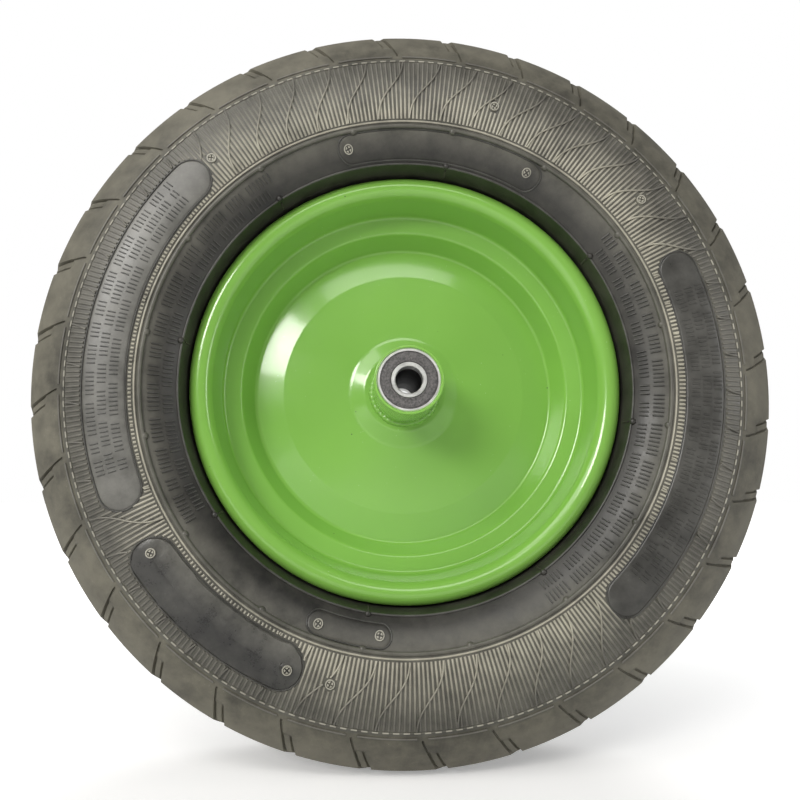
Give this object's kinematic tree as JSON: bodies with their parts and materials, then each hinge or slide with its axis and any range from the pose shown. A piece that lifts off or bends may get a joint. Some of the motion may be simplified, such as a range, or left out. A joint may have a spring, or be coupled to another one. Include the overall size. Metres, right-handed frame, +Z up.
{
  "type": "wheelbarrow wheel",
  "caption": "Air-filled wheelbarrow wheel: treaded rubber tyre and inner tube on a welded pressed-steel rim, with a long hub tube turning on two sealed ball bearings.",
  "frame": {"origin": "centre of the wheel, on the axle's centre line and midway between the two ends of the hub tube", "axes": "axle along Y, the face that shows the full disc towards -Y, the face with the valve towards +Y, +Z up, the valve at the bottom"},
  "size_m": [0.415, 0.1092, 0.415],
  "materials": {
    "tyre_rubber": "moulded rubber with a dull bloom",
    "butyl": "smooth butyl",
    "seal_rubber": "smooth nitrile",
    "green_paint": "gloss powder coat",
    "brass": "turned",
    "cap_plastic": "moulded",
    "bead_wire": "bronze-coated wire",
    "cage_steel": "pressed sheet",
    "bright_steel": "ground"
  },
  "bodies": {
    "axle_set": {"spacer_tube": "bright_steel", "front_bearing_inner_ring": "bright_steel", "rear_bearing_inner_ring": "bright_steel"},
    "front_ball_cage": {"front_bearing_balls": "bright_steel", "front_bearing_cage_outer_half": "cage_steel", "front_bearing_cage_inner_half": "cage_steel", "front_bearing_cage_rivets": "cage_steel"},
    "rear_ball_cage": {"rear_bearing_balls": "bright_steel", "rear_bearing_cage_outer_half": "cage_steel", "rear_bearing_cage_inner_half": "cage_steel", "rear_bearing_cage_rivets": "cage_steel"},
    "valve_cap_washer": {"valve_cap_seal": "seal_rubber"},
    "valve_cap": {"valve_cap": "cap_plastic"},
    "valve_pin": {"valve_pin": "brass", "valve_pin_washer": "seal_rubber", "valve_spring": "bright_steel"},
    "wheel": {"tyre_tread": "tyre_rubber", "tyre_casing": "tyre_rubber", "front_bead_wire": "bead_wire", "rear_bead_wire": "bead_wire", "inner_tube": "butyl", "rim_disc": "green_paint", "rim_ring": "green_paint", "rim_weld": "green_paint", "hub_tube": "green_paint", "front_hub_weld": "green_paint", "rear_hub_weld": "green_paint", "valve_patch": "butyl", "valve_stem": "brass", "valve_core": "brass", "valve_core_seal": "seal_rubber", "front_bearing_outer_ring": "bright_steel", "front_bearing_outer_seal": "seal_rubber", "front_bearing_inner_seal": "seal_rubber", "rear_bearing_outer_ring": "bright_steel", "rear_bearing_outer_seal": "seal_rubber", "rear_bearing_inner_seal": "seal_rubber"}
  },
  "joints": [
    {"name": "wheel_spin", "type": "hinge", "parent": "axle_set", "child": "wheel", "pos_m": [0, 0, 0], "axis": [0, 1, 0], "continuous": true},
    {"name": "front_cage_spin", "type": "hinge", "parent": "axle_set", "child": "front_ball_cage", "pos_m": [0, -0.044, 0], "axis": [0, 1, 0], "continuous": true},
    {"name": "rear_cage_spin", "type": "hinge", "parent": "axle_set", "child": "rear_ball_cage", "pos_m": [0, 0.044, 0], "axis": [0, 1, 0], "continuous": true},
    {"name": "valve_pin_press", "type": "slide", "parent": "wheel", "child": "valve_pin", "axis": [0, -1, 0], "range_m": [0, 0.0012], "stiffness_N_per_m": 600, "springref_m": -0.0008, "deforming": ["valve_spring"]},
    {"name": "cap_unscrew_travel", "type": "slide", "parent": "wheel", "child": "valve_cap_washer", "axis": [0, 1, 0], "range_m": [0, 0.009]},
    {"name": "cap_turn", "type": "hinge", "parent": "valve_cap_washer", "child": "valve_cap", "pos_m": [0, 0.036, -0.1012], "axis": [0, -1, 0], "range_deg": [0, 4085.6]}
  ],
  "couplings": [
    {"joint": "front_cage_spin", "follows": "wheel_spin", "ratio": 0.61906},
    {"joint": "rear_cage_spin", "follows": "wheel_spin", "ratio": 0.61906},
    {"joint": "cap_turn", "follows": "cap_unscrew_travel", "rad_per_m": 7913.3}
  ]
}
